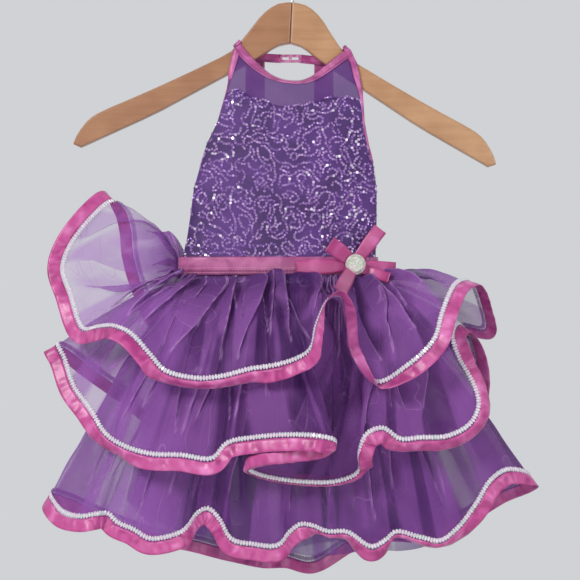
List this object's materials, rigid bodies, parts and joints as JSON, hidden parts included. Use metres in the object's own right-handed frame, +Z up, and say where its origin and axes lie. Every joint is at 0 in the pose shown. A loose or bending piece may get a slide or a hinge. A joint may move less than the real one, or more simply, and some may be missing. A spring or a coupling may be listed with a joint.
{
  "type": "girl's tutu dance dress on a wooden hanger",
  "caption": "Sleeveless halter dance dress with a fitted sequin bodice and a three-tier ruffled skirt with ribbon hems, hung on a wooden hanger.",
  "frame": {"origin": "the hook's bearing point on a rail, at the top of the hook's inside", "axes": "+Z up, +X towards the right as the front is seen, the dress's front towards -Y"},
  "size_m": [0.5164, 0.1951, 0.673],
  "materials": {
    "sequin_cloth": "dark purple mesh covered with sewn lilac sequins",
    "yoke_mesh": "sheer purple stretch mesh",
    "binding": "pink stretch binding and elastic, satin",
    "organza": "sheer purple organza",
    "net": "purple net",
    "ribbon": "pink satin ribbon",
    "braid": "white iridescent strung sequin braid",
    "button": "iridescent glitter",
    "clasp": "clear plastic",
    "wood": "varnished pale wood",
    "wire": "bright wire"
  },
  "bodies": {
    "root": {"bodice_front": "sequin_cloth", "bodice_back": "sequin_cloth", "yoke": "yoke_mesh", "neck_binding_front": "binding", "armhole_binding_left": "binding", "armhole_binding_right": "binding", "neck_strap_left": "binding", "neck_strap_right": "binding", "neck_band_back_left": "binding", "neck_band_back_right": "binding", "back_strap_left": "binding", "back_strap_right": "binding", "waistband": "binding", "tier_1": "organza", "tier_2": "organza", "tier_3": "organza", "petticoat": "net", "ribbon_1": "ribbon", "ribbon_2": "ribbon", "ribbon_3": "ribbon", "bow_tail_left": "ribbon", "bow_tail_right": "ribbon", "bow_loop_upper_left": "ribbon", "bow_loop_lower_right": "ribbon", "bow_tail_upper_right": "ribbon", "bow_tail_lower_left": "ribbon", "braid_1": "braid", "braid_2": "braid", "braid_3": "braid", "bow_button": "button", "clasp": "clasp", "hanger_arm_left": "wood", "hanger_arm_right": "wood", "hanger_hook": "wire"}
  },
  "joints": []
}
